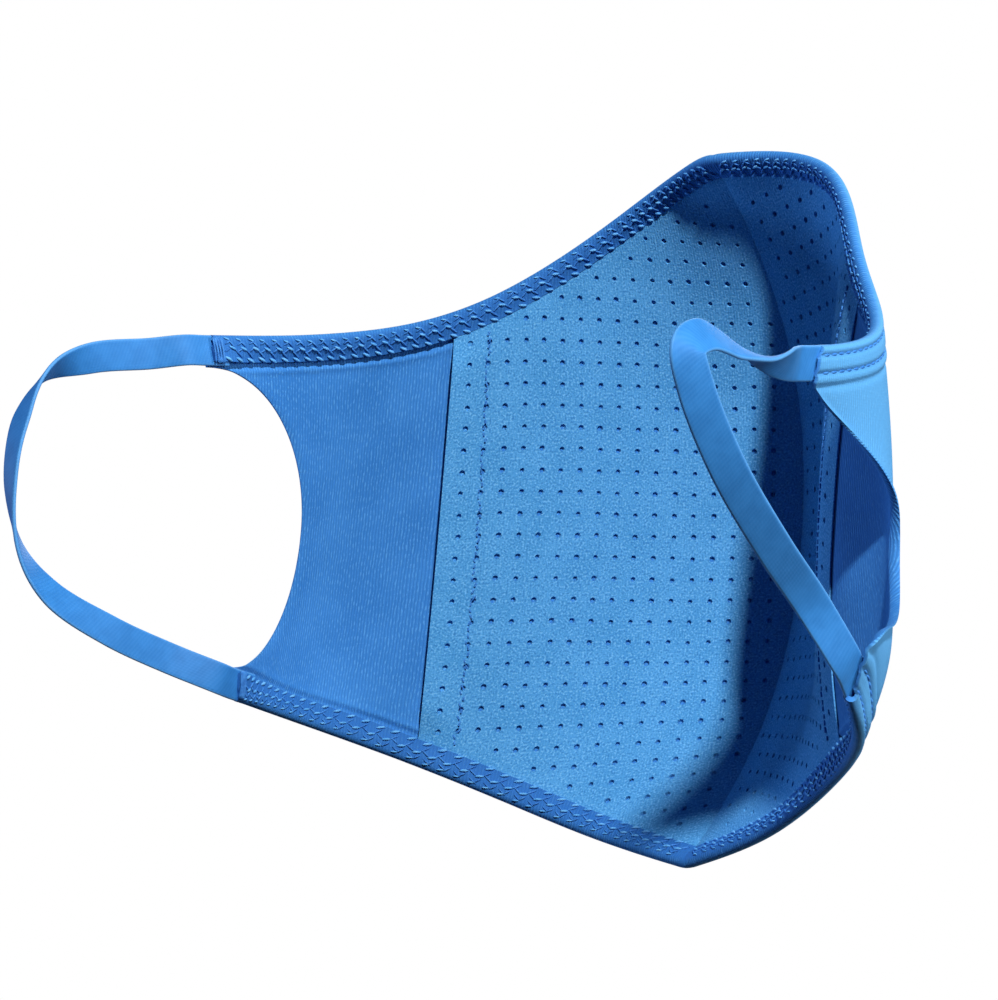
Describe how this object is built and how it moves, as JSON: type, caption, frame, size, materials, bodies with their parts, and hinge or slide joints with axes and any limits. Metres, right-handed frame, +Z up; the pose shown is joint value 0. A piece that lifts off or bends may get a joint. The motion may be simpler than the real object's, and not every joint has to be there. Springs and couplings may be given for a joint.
{
  "type": "cloth face mask",
  "caption": "Fitted knit-fabric face mask with a centre seam, perforated lining, sewn top and bottom hems, and a flat elastic ear loop at each side.",
  "frame": {"origin": "inside of the top hem at the centre seam, where the mask sits on the bridge of the nose", "axes": "+Z up, -Y towards the outside front, +X towards the wearer's left; the halves meet on the X = 0 plane"},
  "size_m": [0.167, 0.1419, 0.137],
  "materials": {
    "outer_knit": "fine vertical knit with a soft sheen",
    "lining_mesh": "perforated heather knit",
    "hem_knit": "turned knit with coverstitching",
    "elastic": "smooth satin elastic tape"
  },
  "bodies": {
    "root": {"outer_panel_left": "outer_knit", "outer_panel_right": "outer_knit", "lining_left": "lining_mesh", "lining_right": "lining_mesh", "top_hem_left": "hem_knit", "top_hem_right": "hem_knit", "bottom_hem_left": "hem_knit", "bottom_hem_right": "hem_knit", "ear_loop_left": "elastic", "ear_loop_right": "elastic"}
  },
  "joints": []
}
